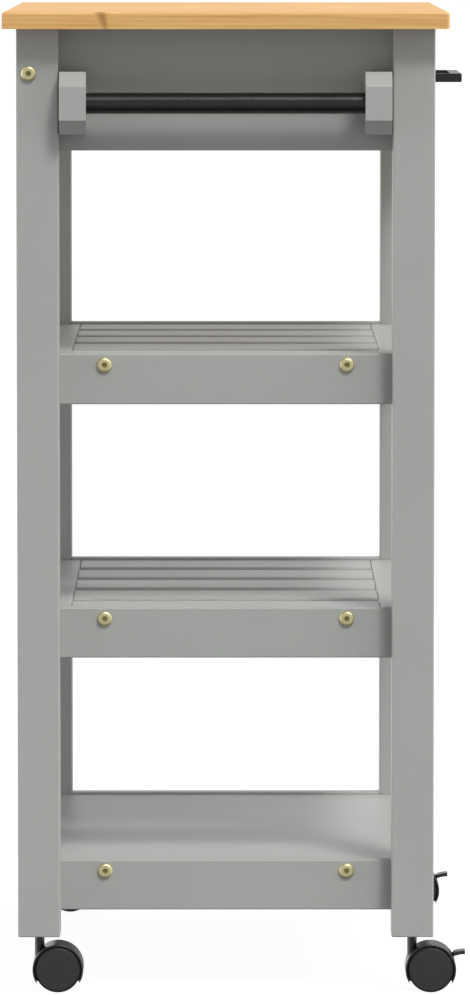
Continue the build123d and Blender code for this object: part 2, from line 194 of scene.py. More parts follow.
def face_middles(piece: bpy.types.Object) -> np.ndarray:
    """Read where the faces of a mesh are.

    Args:
        piece: the object.

    Returns:
        The middle of each face, faces by three.
    """
    flat = np.empty(len(piece.data.polygons) * 3)
    piece.data.polygons.foreach_get("center", flat)
    return flat.reshape(-1, 3)


def lathe(profile: np.ndarray, centre: Triple, axis: Axis, around: int) -> np.ndarray:
    """Turn a profile about an axis: each point goes round a circle of its own radius.

    Args:
        profile: radius and height of each point, in metres.
        centre: where height zero lies on the axis.
        axis: the row axis that the heights run along.
        around: how many points make a full turn.

    Returns:
        Rows of points for skin().
    """
    turn = np.linspace(0.0, 2 * math.pi, around, endpoint=False)
    radius, height = profile[:, 0:1], profile[:, 1:2]
    first, second = [k for k in range(3) if k != axis.value]
    rows = np.empty((len(profile), around, 3))
    rows[:, :, first] = radius * np.cos(turn)
    rows[:, :, second] = radius * np.sin(turn)
    rows[:, :, axis.value] = height
    return rows + np.array(centre)


def rounded(corners: np.ndarray, radius: float, steps: int = 4) -> np.ndarray:
    """Round the inner corners of an open outline with quadratic curves.

    Each corner becomes the curve whose ends lie `radius` before and after it along its two sides and
    whose control point is the corner itself.

    Args:
        corners: points by two.
        radius: how far from the corner its curve starts.
        steps: points on each curve.

    Returns:
        The outline with its corners rounded and its two ends kept.
    """
    before = corners[:-2] - corners[1:-1]
    after = corners[2:] - corners[1:-1]
    reach_in = np.minimum(radius, 0.45 * np.linalg.norm(before, axis=1))[:, None]
    reach_out = np.minimum(radius, 0.45 * np.linalg.norm(after, axis=1))[:, None]
    start = corners[1:-1] + before / np.linalg.norm(before, axis=1)[:, None] * reach_in
    end = corners[1:-1] + after / np.linalg.norm(after, axis=1)[:, None] * reach_out
    t = np.linspace(0.0, 1.0, steps)[None, :, None]
    curves = (1 - t) ** 2 * start[:, None] + 2 * t * (1 - t) * corners[1:-1][:, None] + t ** 2 * end[:, None]
    return np.vstack([corners[:1], curves.reshape(-1, 2), corners[-1:]])


# ---- finishes ----
def new_material(name: str) -> tuple[bpy.types.Material, Tree]:
    """Make a material with an empty tree of nodes.

    Args:
        name: the material's name.

    Returns:
        The material and its tree.
    """
    material = bpy.data.materials.new(name)
    material.use_nodes = True
    material.node_tree.nodes.clear()
    return material, material.node_tree


def surface(tree: Tree, inputs: Inputs) -> None:
    """Add the Principled shader and link it to the output.

    Args:
        tree: the material's tree.
        inputs: the shader's inputs, as add() takes them.
    """
    shader = add(tree, "BsdfPrincipled", inputs)
    add(tree, "OutputMaterial", {"Surface": shader.outputs["BSDF"]})


@dataclass(frozen=True)
class SatinPaint:
    """Waterborne satin enamel sprayed on sanded pine.

    The film is even in colour and slightly uneven in gloss. Under it the raised grain of the softwood
    shows as faint long ridges, and the spray leaves a fine orange peel.
    """

    colour: str
    grain: Axis
    roughness: float = 0.42
    ridge: float = 1.1 * MM         # spacing of the raised grain
    ridge_length: float = 60 * MM
    peel: float = 1.6 * MM          # size of the orange peel's dimples
    cloud: float = 143 * MM         # size of the patches of tone and gloss

    def material(self) -> bpy.types.Material:
        """Build the painted timber's material for one grain direction.

        Returns:
            The material.
        """
        material, tree = new_material(f"satin_paint_grain_{self.grain.name.lower()}")
        place = add(tree, "TexCoord").outputs["Object"]
        stretch = [1.0, 1.0, 1.0]
        stretch[self.grain.value] = self.ridge / self.ridge_length
        along = add(tree, "Mapping", {"Vector": place, "Scale": stretch}).outputs["Vector"]
        grain = add(tree, "TexNoise", {"Vector": along, "Scale": 1 / self.ridge, "Detail": 3.0})
        peel = add(tree, "TexNoise", {"Vector": place, "Scale": 1 / self.peel, "Detail": 1.0})
        cloud = add(tree, "TexNoise", {"Vector": place, "Scale": 1 / self.cloud, "Detail": 2.0})

        tint = linear(self.colour)
        darker = tuple(c * 0.94 for c in tint[:3]) + (1.0,)
        lighter = tuple(min(1.0, c * 1.05) for c in tint[:3]) + (1.0,)
        shade = add(tree, "Mix", {
            MIX_FACTOR: cloud.outputs["Fac"], MIX_A: darker, MIX_B: lighter}, data_type="RGBA")
        streak = add(tree, "MapRange", {
            "Value": grain.outputs["Fac"], "From Min": 0.3, "From Max": 0.75, "To Max": 0.1})
        fine = add(tree, "Mix", {
            MIX_FACTOR: streak.outputs["Result"], MIX_A: shade.outputs[MIX_OUT], MIX_B: darker},
            data_type="RGBA")
        gloss = add(tree, "MapRange", {
            "Value": cloud.outputs["Fac"], "To Min": self.roughness - 0.05, "To Max": self.roughness + 0.08})
        ridges = add(tree, "Bump", {"Height": grain.outputs["Fac"], "Distance": 0.05 * MM, "Strength": 0.5})
        dimples = add(tree, "Bump", {
            "Height": peel.outputs["Fac"], "Distance": 0.02 * MM, "Strength": 0.5,
            "Normal": ridges.outputs["Normal"]})
        surface(tree, {
            "Base Color": fine.outputs[MIX_OUT], "Roughness": gloss.outputs["Result"],
            "Normal": dimples.outputs["Normal"], "IOR": 1.5})
        return material


@dataclass(frozen=True)
class Knot:
    """A branch knot in a board: its middle along and across the board, and its radius."""

    along: float
    across: float
    radius: float


@dataclass(frozen=True)
class Timber:
    """Planed wood, bare or waxed, with the colours and the rings of pine where no others are given.

    Each board is a slice of a trunk whose growth rings are circles about a pith line that runs along
    the grain, so faces show long stripes and ends show shallow arcs of the same rings. Boards glued
    side by side each get a pith, a tone and a length of their own.
    """

    name: str
    along: Axis                     # the grain's direction
    across: Axis
    centre: Triple                  # the panel's middle
    roughness: float
    through: Axis = Axis.Z
    early: str = "#D8AC6A"          # pale spring wood
    late: str = "#AE7433"           # dark summer wood
    knot_colour: str = "#8A6024"
    face: float = 9 * MM            # half of the panel's thickness
    board_width: float = 57 * MM
    board_length: float = 620 * MM
    ring: float = 4.6 * MM          # width of a year's growth
    pith_depth: float = 330 * MM    # pith line below the board's face, deep for flat-sawn boards
    tone_spread: float = 0.06
    stripe: float = 0.4             # how far the summer wood's lines go towards their dark colour
    wander: float = 26 * MM         # how far the rings stray from true circles
    bend: float = 71.4 * MM         # size of a stray across the grain
    bend_length: float = 385 * MM   # and along it
    streak: float = 6 * MM          # width of the resin-rich streaks
    streak_length: float = 100 * MM
    fibre: float = 0.9 * MM
    fibre_length: float = 45 * MM
    drift: float = 250 * MM         # size of the patches of tone on one plain board
    knot_edge: float = 6.67 * MM    # size of the unevenness around a knot
    knot_lean: float = 0.3          # along the board for each unit of depth
    knot_push: float = 9 * MM       # how far a knot bends the rings around it
    glue_line: float = 0.35 * MM
    finger: float = 9 * MM          # pitch of the finger joints between lengths
    finger_slope: float = 1.6       # length of a finger over half its pitch
    glued: bool = True
    coat: float = 0.0
    knots: tuple[Knot, ...] = ()

    def material(self) -> bpy.types.Material:
        """Build the wood from its rings, fibres, knots and glue lines.

        Returns:
            The material.
        """
        material, tree = new_material(self.name)
        place = add(tree, "TexCoord").outputs["Object"]
        shift = [-value for value in self.centre]
        local = add(tree, "Mapping", {"Vector": place, "Location": shift}).outputs["Vector"]
        parts = add(tree, "SeparateXYZ", {0: local}).outputs
        along, across, through = parts[self.along.value], parts[self.across.value], parts[self.through.value]

        board, seam, tone, draws = self.boards(tree, along, across, local)
        halo, core = self.knot_masks(tree, along, across, through)
        rings = self.rings(tree, local, board, through, halo, draws)
        fibre = self.fibres(tree, local)

        figure = self.figure(tree, local)
        stripe = add(tree, "Math", {0: rings, 1: self.stripe, 2: figure},
                     operation="MULTIPLY_ADD").outputs[0]
        wood = add(tree, "Mix", {
            MIX_FACTOR: stripe, MIX_A: linear(self.early), MIX_B: linear(self.late)}, data_type="RGBA")
        toned = add(tree, "HueSaturation", {"Color": wood.outputs[MIX_OUT], "Value": tone})
        colour = toned.outputs["Color"]
        for share, dark in ((fibre, self.late), (core, self.knot_colour), (seam, self.knot_colour)):
            colour = add(
                tree, "Mix", {MIX_FACTOR: share, MIX_A: colour, MIX_B: linear(dark)},
                data_type="RGBA").outputs[MIX_OUT]
        gloss = add(tree, "MapRange", {
            "Value": rings, "To Min": self.roughness + 0.05, "To Max": self.roughness - 0.05})
        raised = add(tree, "Bump", {"Height": rings, "Distance": 0.06 * MM, "Strength": 0.4})
        rough = add(tree, "Bump", {
            "Height": fibre, "Distance": 0.05 * MM, "Strength": 0.5, "Normal": raised.outputs["Normal"]})
        surface(tree, {
            "Base Color": colour, "Roughness": gloss.outputs["Result"], "Normal": rough.outputs["Normal"],
            "IOR": 1.5, "Coat Weight": self.coat, "Coat Roughness": 0.22})
        return material

    def boards(self, tree: Tree, along: Socket, across: Socket,
               local: Socket) -> tuple[Value, Value, Value, tuple[Value, Value, Value]]:
        """Number the glued boards and give each its own random draws.

        The number is the distance across the panel over the board's width, rounded down. Along a
        board a second number counts its lengths, whose joints zigzag as cut fingers do. A part that
        is one plain board has no seams, fixed draws and a tone that drifts slowly.

        Args:
            tree: the material's tree.
            along: distance along the grain.
            across: distance across the grain.
            local: place in the panel.

        Returns:
            Distance from the board's middle, glue line mask, tone, and the board's three random draws.
        """
        light, dark = 1 + self.tone_spread / 2, 1 - self.tone_spread / 2
        if not self.glued:
            drift = add(
                tree, "TexNoise", {"Vector": local, "Scale": 1 / self.drift, "Detail": 1.0}).outputs["Fac"]
            tone = add(tree, "MapRange", {"Value": drift, "To Min": dark, "To Max": light})
            return across, 0.0, tone.outputs["Result"], (0.4, 0.5, 0.3)
        count = add(tree, "Math", {0: across, 1: self.board_width}, operation="DIVIDE").outputs[0]
        index = add(tree, "Math", {0: count, 1: 0.5}, operation="ADD").outputs[0]
        whole = add(tree, "Math", {0: index}, operation="FLOOR").outputs[0]
        part = add(tree, "Math", {0: index, 1: whole}, operation="SUBTRACT").outputs[0]
        from_middle = add(tree, "Math", {0: part, 1: 0.5}, operation="SUBTRACT").outputs[0]
        board = add(tree, "Math", {0: from_middle, 1: self.board_width}, operation="MULTIPLY").outputs[0]

        stagger = add(tree, "TexWhiteNoise", {"W": whole}, noise_dimensions="1D").outputs["Value"]
        wave = add(tree, "Math", {0: across, 1: self.finger / 2}, operation="PINGPONG").outputs[0]
        zigzag = add(
            tree, "Math", {0: wave, 1: self.finger_slope, 2: along}, operation="MULTIPLY_ADD").outputs[0]
        laid = add(tree, "Math", {0: zigzag, 1: self.board_length}, operation="DIVIDE").outputs[0]
        run = add(tree, "Math", {0: laid, 1: stagger}, operation="ADD").outputs[0]
        length = add(tree, "Math", {0: run}, operation="FLOOR").outputs[0]
        key = add(tree, "CombineXYZ", {0: whole, 1: length, 2: 0.0}).outputs[0]
        draw = add(tree, "TexWhiteNoise", {"Vector": key}, noise_dimensions="3D")
        tone = add(tree, "MapRange", {"Value": draw.outputs["Value"], "To Min": dark, "To Max": light})

        edge = add(tree, "Math", {0: board}, operation="ABSOLUTE").outputs[0]
        half = self.board_width / 2
        glue = add(tree, "MapRange", {
            "Value": edge, "From Min": half - self.glue_line, "From Max": half, "To Max": 0.45})
        draws = add(tree, "SeparateColor", {0: draw.outputs["Color"]}).outputs
        return board, glue.outputs["Result"], tone.outputs["Result"], (draws[0], draws[1], draws[2])

    def knot_masks(self, tree: Tree, along: Socket, across: Socket,
                   through: Socket) -> tuple[Value, Value]:
        """Mark the knots: a wide soft halo that bends the rings, and a tight dark core.

        A branch leans as it grows and narrows towards the pith, so a knot's middle moves along the
        board by the lean times the depth, and its radius falls from the whole at the face by a
        thirtieth for each millimetre below it. Both masks fall off smoothly with the distance from
        the nearest knot's middle, in knot radii.

        Args:
            tree: the material's tree.
            along: distance along the grain.
            across: distance across the grain.
            through: distance through the board.

        Returns:
            The halo and the core, each from nought to one.
        """
        if not self.knots:
            return 0.0, 0.0
        leaning = add(
            tree, "Math", {0: through, 1: self.knot_lean, 2: along}, operation="MULTIPLY_ADD").outputs[0]
        flat = add(tree, "CombineXYZ", {0: across, 1: leaning, 2: 0.0}).outputs[0]
        cone = add(tree, "MapRange", {
            "Value": through, "From Min": -self.face, "From Max": self.face,
            "To Min": 1 - self.face / (15 * MM), "To Max": 1.0}).outputs["Result"]
        wobble = add(
            tree, "TexNoise", {"Vector": flat, "Scale": 1 / self.knot_edge, "Detail": 2.0}).outputs["Fac"]
        nearest: Value = 9.0
        for knot in self.knots:
            middle = (knot.across, knot.along, 0.0)
            gap = add(tree, "VectorMath", {0: flat, 1: middle}, operation="DISTANCE").outputs["Value"]
            radii = add(tree, "Math", {0: gap, 1: knot.radius}, operation="DIVIDE").outputs[0]
            nearest = add(tree, "Math", {0: radii, 1: nearest}, operation="MINIMUM").outputs[0]
        nearest = add(tree, "Math", {0: nearest, 1: cone}, operation="DIVIDE").outputs[0]
        uneven = add(tree, "Math", {0: wobble, 1: 1.6, 2: nearest}, operation="MULTIPLY_ADD").outputs[0]
        halo = add(tree, "MapRange", {
            "Value": uneven, "From Min": 5.5, "From Max": 0.9}, interpolation_type="SMOOTHSTEP")
        core = add(tree, "MapRange", {
            "Value": uneven, "From Min": 2.6, "From Max": 1.1, "To Max": 0.8},
            interpolation_type="SMOOTHSTEP")
        return halo.outputs["Result"], core.outputs["Result"]

    def rings(self, tree: Tree, local: Socket, board: Value,
              through: Socket, halo: Value, draws: tuple[Value, Value, Value]) -> Value:
        """Draw the growth rings.

        The distance from the pith is the root of the squares of the offsets across and through the
        board. Slow noise along the grain and the knots' halos push it about. Its fraction of a ring
        width climbs from spring to summer wood and then drops at the year's end.

        Args:
            tree: the material's tree.
            local: place in the panel.
            board: distance from the board's middle.
            through: distance through the board.
            halo: the knots' soft mask.
            draws: the board's three random draws.

        Returns:
            Nought in spring wood and one in the summer wood's dark line.
        """
        aside = between(tree, draws[0], -self.board_width / 2, self.board_width / 2)
        below = between(tree, draws[1], self.pith_depth * 0.6, self.pith_depth * 1.4)
        u = add(tree, "Math", {0: board, 1: aside}, operation="SUBTRACT").outputs[0]
        v = add(tree, "Math", {0: through, 1: below}, operation="ADD").outputs[0]
        offset = add(tree, "CombineXYZ", {0: u, 1: v, 2: 0.0}).outputs[0]
        distance = add(tree, "VectorMath", {0: offset}, operation="LENGTH").outputs["Value"]

        stretch = [1 / self.bend] * 3
        stretch[self.along.value] = 1 / self.bend_length
        slow = add(tree, "Mapping", {"Vector": local, "Scale": stretch}).outputs["Vector"]
        drift = add(tree, "TexNoise", {
            "Vector": slow, "W": draws[2], "Scale": 1.0, "Detail": 2.0}, noise_dimensions="4D").outputs["Fac"]
        bent = add(
            tree, "Math", {0: drift, 1: self.wander, 2: distance}, operation="MULTIPLY_ADD").outputs[0]
        round_knot = add(
            tree, "Math", {0: halo, 1: self.knot_push, 2: bent}, operation="MULTIPLY_ADD").outputs[0]
        years = add(tree, "Math", {0: round_knot, 1: self.ring}, operation="DIVIDE").outputs[0]
        season = add(tree, "Math", {0: years}, operation="FRACT").outputs[0]
        climb = add(tree, "Math", {0: season, 1: 2.2}, operation="POWER").outputs[0]
        drop = add(tree, "MapRange", {"Value": season, "From Min": 1.0, "From Max": 0.86})
        return add(tree, "Math", {0: climb, 1: drop.outputs["Result"]}, operation="MULTIPLY").outputs[0]

    def figure(self, tree: Tree, local: Socket) -> Socket:
        """Lay wide resin-rich streaks along the grain.

        Args:
            tree: the material's tree.
            local: place in the panel.

        Returns:
            How far each place goes towards the dark colour, up to three tenths.
        """
        stretch = [1.0, 1.0, 1.0]
        stretch[self.along.value] = self.streak / self.streak_length
        slow = add(tree, "Mapping", {"Vector": local, "Scale": stretch}).outputs["Vector"]
        cloud = add(tree, "TexNoise", {"Vector": slow, "Scale": 1 / self.streak, "Detail": 2.0})
        rise = add(tree, "MapRange", {
            "Value": cloud.outputs["Fac"], "From Min": 0.42, "From Max": 0.74, "To Max": 0.3},
            interpolation_type="SMOOTHSTEP")
        return rise.outputs["Result"]

    def fibres(self, tree: Tree, local: Socket) -> Socket:
        """Lay fine fibres along the grain.

        Args:
            tree: the material's tree.
            local: place in the panel.

        Returns:
            How far each place goes towards the dark colour, up to about a third.
        """
        stretch = [1.0, 1.0, 1.0]
        stretch[self.along.value] = self.fibre / self.fibre_length
        fine = add(tree, "Mapping", {"Vector": local, "Scale": stretch}).outputs["Vector"]
        hair = add(tree, "TexNoise", {"Vector": fine, "Scale": 1 / self.fibre, "Detail": 3.0})
        thin = add(tree, "MapRange", {
            "Value": hair.outputs["Fac"], "From Min": 0.45, "From Max": 0.8, "To Max": 0.35})
        return thin.outputs["Result"]


@dataclass(frozen=True)
class PowderCoat:
    """Black polyester powder baked on steel: an even film with a fine pebbled gloss.

    The pebbles are nearly twice their real 0.4 mm, so that they show.
    """

    name: str = "black_powder_coat"
    colour: str = "#121212"
    roughness: float = 0.27
    pebble: float = 0.7 * MM
    cloud: float = 45.5 * MM        # size of the patches of gloss

    def material(self) -> bpy.types.Material:
        """Build the coat with its pebbling in the bump and in the gloss.

        Returns:
            The material.
        """
        material, tree = new_material(self.name)
        place = add(tree, "TexCoord").outputs["Object"]
        pebble = add(tree, "TexNoise", {"Vector": place, "Scale": 1 / self.pebble, "Detail": 1.5})
        cloud = add(tree, "TexNoise", {"Vector": place, "Scale": 1 / self.cloud, "Detail": 2.0})
        gloss = add(tree, "MapRange", {
            "Value": cloud.outputs["Fac"], "To Min": self.roughness - 0.05, "To Max": self.roughness + 0.06})
        dents = add(tree, "Bump", {
            "Height": pebble.outputs["Fac"], "Distance": 0.03 * MM, "Strength": 0.45})
        black = linear(self.colour)
        worn = tuple(c * 1.5 for c in black[:3]) + (1.0,)
        tint = add(tree, "Mix", {
            MIX_FACTOR: pebble.outputs["Fac"], MIX_A: black, MIX_B: worn}, data_type="RGBA")
        surface(tree, {
            "Base Color": tint.outputs[MIX_OUT], "Roughness": gloss.outputs["Result"],
            "Normal": dents.outputs["Normal"], "IOR": 1.5})
        return material


@dataclass(frozen=True)
class MouldedNylon:
    """Black nylon shot into a steel mould, whose finish and flow marks it keeps."""

    name: str
    colour: str
    roughness: float
    grit: float = 0.35 * MM         # coarser than the real 0.05 mm, so that it shows
    flow: float = 11.1 * MM         # size of the flow marks

    def material(self) -> bpy.types.Material:
        """Build the plastic with its mould grain and faint flow marks.

        Returns:
            The material.
        """
        material, tree = new_material(self.name)
        place = add(tree, "TexCoord").outputs["Object"]
        grit = add(tree, "TexNoise", {"Vector": place, "Scale": 1 / self.grit, "Detail": 1.0})
        flow = add(
            tree, "TexNoise", {"Vector": place, "Scale": 1 / self.flow, "Detail": 2.0, "Distortion": 0.8})
        black = linear(self.colour)
        bloom = tuple(c * 1.35 for c in black[:3]) + (1.0,)
        tint = add(tree, "Mix", {
            MIX_FACTOR: flow.outputs["Fac"], MIX_A: black, MIX_B: bloom}, data_type="RGBA")
        gloss = add(tree, "MapRange", {
            "Value": flow.outputs["Fac"], "To Min": self.roughness - 0.06, "To Max": self.roughness + 0.06})
        texture = add(tree, "Bump", {
            "Height": grit.outputs["Fac"], "Distance": 0.015 * MM, "Strength": 0.5})
        surface(tree, {
            "Base Color": tint.outputs[MIX_OUT], "Roughness": gloss.outputs["Result"],
            "Normal": texture.outputs["Normal"], "IOR": 1.53})
        return material


@dataclass(frozen=True)
class PlatedSteel:
    """Electroplated steel: fine rolling or turning marks under a thin bright metal film.

    The marks are coarser than their real tenth of a millimetre, so that they show.
    """

    name: str
    colour: str
    stain: str                      # the film's second colour, where the passivation is thicker
    roughness: float = 0.27
    mark: float = 0.5 * MM
    cloud: float = 6.25 * MM        # size of the passivation's patches

    def material(self) -> bpy.types.Material:
        """Build the plating with cloudy passivation and fine marks.

        Returns:
            The material.
        """
        material, tree = new_material(self.name)
        place = add(tree, "TexCoord").outputs["Object"]
        cloud = add(tree, "TexNoise", {"Vector": place, "Scale": 1 / self.cloud, "Detail": 3.0})
        marks = add(tree, "TexNoise", {"Vector": place, "Scale": 1 / self.mark, "Detail": 2.0})
        tint = add(tree, "Mix", {
            MIX_FACTOR: cloud.outputs["Fac"], MIX_A: linear(self.colour), MIX_B: linear(self.stain)},
            data_type="RGBA")
        gloss = add(tree, "MapRange", {
            "Value": marks.outputs["Fac"], "To Min": self.roughness - 0.07, "To Max": self.roughness + 0.1})
        scratch = add(tree, "Bump", {
            "Height": marks.outputs["Fac"], "Distance": 0.01 * MM, "Strength": 0.4})
        surface(tree, {
            "Base Color": tint.outputs[MIX_OUT], "Roughness": gloss.outputs["Result"],
            "Normal": scratch.outputs["Normal"], "Metallic": 1.0})
        return material


# ---- sub-assemblies ----
ENDS = ("left", "right")
FACES = ("front", "rear")
SHELVES = ("upper", "middle", "lower")


@dataclass
class Worktop:
    """The waxed panel: glued pine boards from front to back, with a few knots."""

    board_width: float = 57.2 * MM

    def dress(self) -> None:
        """Finish the CAD panel as waxed pine."""
        low, high = span("worktop")
        middle = (low + high) / 2
        edge = (high[1] - low[1]) / 2
        # Each knot's place is from the middle along the grain and from the left end across it.
        knots = (
            Knot(-109 * MM, 3 * MM - edge, 5.0 * MM),
            Knot(66 * MM, 62 * MM - edge, 5.0 * MM),
            Knot(-148 * MM, 190 * MM - edge, 6.0 * MM),
            Knot(24 * MM, 318 * MM - edge, 4.5 * MM),
            Knot(-52 * MM, 415 * MM - edge, 6.5 * MM),
            Knot(141 * MM, 500 * MM - edge, 5.5 * MM),
            Knot(152 * MM, 130 * MM - edge, 3.5 * MM),
        )
        # Planed, glued, sanded and wiped with hard wax, which deepens the stripes and leaves a low sheen.
        wax = Timber(
            "waxed_pine", along=Axis.X, across=Axis.Y, centre=tuple(middle), board_width=self.board_width,
            face=float(high[2] - low[2]) / 2, roughness=0.6, coat=0.06, knots=knots)
        dress(["worktop"], wax.material())
        log.info("worktop: %d knots in boards of %.0f mm", len(knots), self.board_width / MM)


@dataclass
class PaintedFrame:
    """Legs, aprons, rails, shelves and towel blocks, all in the same satin grey."""

    colour: str = "#9D9F9C"

    def dress(self) -> None:
        """Finish each timber with its grain along its length."""
        upright = [f"leg_{face}_{end}" for face in FACES for end in ENDS]
        upright += [f"towel_block_{face}" for face in FACES]
        crossing = [f"apron_{end}" for end in ENDS]
        crossing += [f"{shelf}_rail_{end}" for shelf in SHELVES for end in ENDS]
        crossing += ["upper_slats", "middle_slats"]
        lengthwise = ["apron_rear", "drawer_rail", "drawer_front", "bottom_shelf"]
        lengthwise += [f"{shelf}_stile_{face}" for shelf in SHELVES[:2] for face in FACES]
        for grain, names in ((Axis.Z, upright), (Axis.X, crossing), (Axis.Y, lengthwise)):
            dress(names, SatinPaint(colour=self.colour, grain=grain).material())
            log.info("painted %d timbers with grain along %s", len(names), grain.name)


@dataclass
class DrawerBox:
    """The bare wood behind the drawer's painted front, and the runners under it."""

    def dress(self) -> None:
        """Finish sides and back as planed pine, the bottom as plywood, the runners as beech."""
        low, high = span("drawer_bottom")
        middle = tuple((low + high) / 2)
        # Sawn, planed by machine and left bare, so it is pale and matt with its stripes unbroken.
        side = Timber(
            "planed_pine_side", early="#E6C795", late="#CFA063", along=Axis.X, across=Axis.Z, through=Axis.Y,
            centre=middle, glued=False, ring=4.2 * MM, roughness=0.55, tone_spread=0.08)
        back = replace(side, name="planed_pine_back", along=Axis.Y, through=Axis.X)
        # Peeled from the log as one wide sheet and sanded, so its rings spread into broad faint waves.
        ply = replace(
            side, name="birch_plywood", early="#E5CDA2", late="#D3B27C", across=Axis.Y, through=Axis.Z,
            ring=9 * MM, pith_depth=150 * MM)
        # Steamed and planed hardwood: pinkish, with rings closer together than the pine's.
        beech = replace(
            side, name="planed_beech", early="#D9AE83", late="#BF8D5F", across=Axis.Y, through=Axis.Z,
            ring=2.2 * MM, roughness=0.5, tone_spread=0.06)
        dress(["drawer_side_left", "drawer_side_right"], side.material())
        dress(["drawer_back"], back.material())
        dress(["drawer_bottom"], ply.material())
        dress(["drawer_runner_left", "drawer_runner_right", "frame_dowels"], beech.material())
        log.info("drawer box and runners dressed")


@dataclass
class BlackMetal:
    """The towel bar and the drawer handle, powder coated."""

    bar_points: int = 96

    def build(self) -> None:
        """Turn the towel bar with softly rounded ends, and dress the handle.

        The outline of one end is mirrored for the other. Its two points short of the end keep the
        rounding's shade from spreading along the bar.
        """
        coat = PowderCoat().material()
        low, high = span("towel_bar")
        middle = (low + high) / 2
        radius = (high[2] - low[2]) / 2
        half = (high[0] - low[0]) / 2
        wall = 1.2 * MM
        bore = radius - wall
        end = np.array([
            (radius, half - 2 * wall), (radius, half - wall), (radius, half), (bore, half),
            (bore, half - 6 * wall), (0.0, half - 6 * wall)])
        profile = rounded(np.vstack([end[::-1] * (1, -1), end]), 0.4 * MM)
        bar = skin("towel_bar_tube", lathe(profile, tuple(middle), Axis.X, self.bar_points), coat)
        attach(bar, "frame")
        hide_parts("towel_bar")
        dress(["drawer_handle"], coat)
        log.info("towel bar: %d faces", len(bar.data.polygons))


@dataclass
class Caster:
    """One twin-wheel caster: two wheels turned from one outline, and its moulded housing."""

    name: str
    hood: bpy.types.Material
    cover: bpy.types.Material
    tread: bpy.types.Material
    steel: bpy.types.Material
    around: int = 128
    outline_radius: float = 20.75 * MM
    outline_width: float = 12.4 * MM
    seam: float = 19.15 * MM        # radius of the seam between the cover and the tread

    def build(self) -> None:
        """Build both wheels and dress the rest of the caster."""
        for side in ENDS:
            self.wheel(side)
        dress([f"caster_housing_{self.name}"], self.hood)
        dress([f"caster_axle_{self.name}"], self.steel)
        if self.name.startswith("front"):
            dress([f"brake_lever_{self.name}"], self.hood)
        log.info("caster %s built", self.name)

    def wheel(self, side: str) -> None:
        """Turn one wheel: a hollow inner face, a slightly crowned tread, a fine seam and a flat cover.

        The outline is stretched to the CAD wheel's own radius and width. A face belongs to the cover
        if its middle lies inside the seam.

        Args:
            side: left or right of the caster's middle.
        """
        node = f"wheel_{side}_{self.name}"
        low, high = span(node)
        radius = (high[2] - low[2]) / 2
        width = high[1] - low[1]
        outwards = -1 if side == "left" else 1
        inner = low[1] if outwards > 0 else high[1]
        centre = ((low[0] + high[0]) / 2, inner, (low[2] + high[2]) / 2)
        corners = MM * np.array([
            (0.0, 9.0), (2.55, 9.0), (2.55, 0.3), (4.8, 0.0), (5.4, 3.4), (15.6, 3.6), (16.2, 0.3),
            (19.9, 0.0), (20.65, 0.9), (20.75, 5.2), (20.65, 10.3), (20.3, 11.2), (19.55, 11.9),
            (19.3, 11.9), (19.25, 11.3), (19.1, 11.3), (19.05, 12.1), (18.6, 12.3), (0.0, 12.4)])
        corners *= np.array([radius / self.outline_radius, width / self.outline_width])
        profile = rounded(corners, 0.35 * MM, 4)
        profile[:, 1] *= outwards
        rows = lathe(profile, centre, Axis.Y, self.around)
        piece = skin(f"moulded_{node}", rows, self.tread, sharp=50.0)
        piece.data.materials.append(self.cover)
        middles = face_middles(piece) - np.array(centre)
        cover = np.hypot(middles[:, 0], middles[:, 2]) < self.seam
        piece.data.polygons.foreach_set("material_index", cover.astype(np.int32))
        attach(piece, node)
        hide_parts(node)


